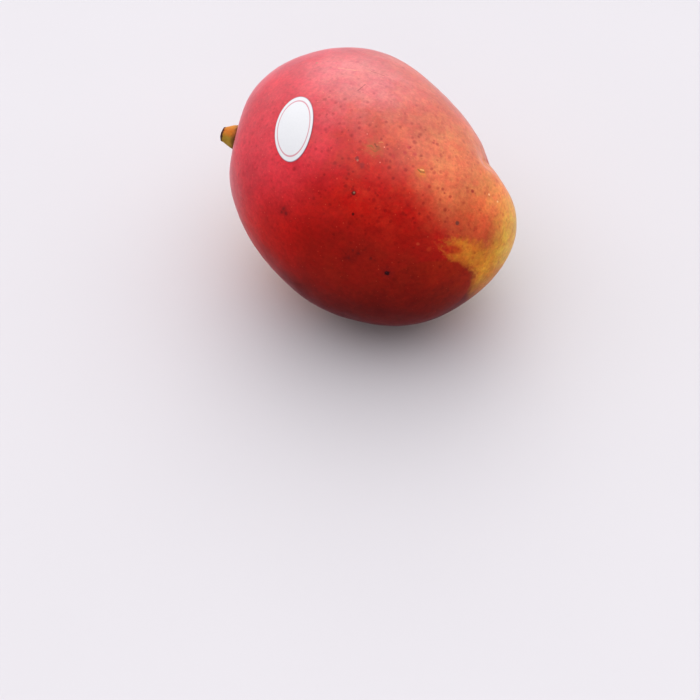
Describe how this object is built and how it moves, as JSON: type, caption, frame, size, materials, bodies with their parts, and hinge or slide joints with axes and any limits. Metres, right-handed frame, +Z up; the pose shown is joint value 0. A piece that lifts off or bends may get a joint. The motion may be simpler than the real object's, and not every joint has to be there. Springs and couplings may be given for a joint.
{
  "type": "mango",
  "caption": "Whole ripe red mango with its cut stalk and a blank oval paper label, lying on its cheek on a small flat spot.",
  "frame": {"origin": "on the floor, under the middle of the part's box", "axes": "+X along the fruit from its stem to its apex, +Z up, with the labelled cheek looking up and towards -Y and the ventral side towards +Y"},
  "size_m": [0.1166, 0.0962, 0.0897],
  "materials": {
    "skin": "waxy fruit skin, crimson and orange turning yellow at the apex, with fine pale and dark specks",
    "stalk": "green-ochre woody stalk with a dark dried cut end",
    "label": "smooth white paper"
  },
  "bodies": {
    "root": {"fruit": "skin", "stalk": "stalk", "label": "label"}
  },
  "joints": []
}
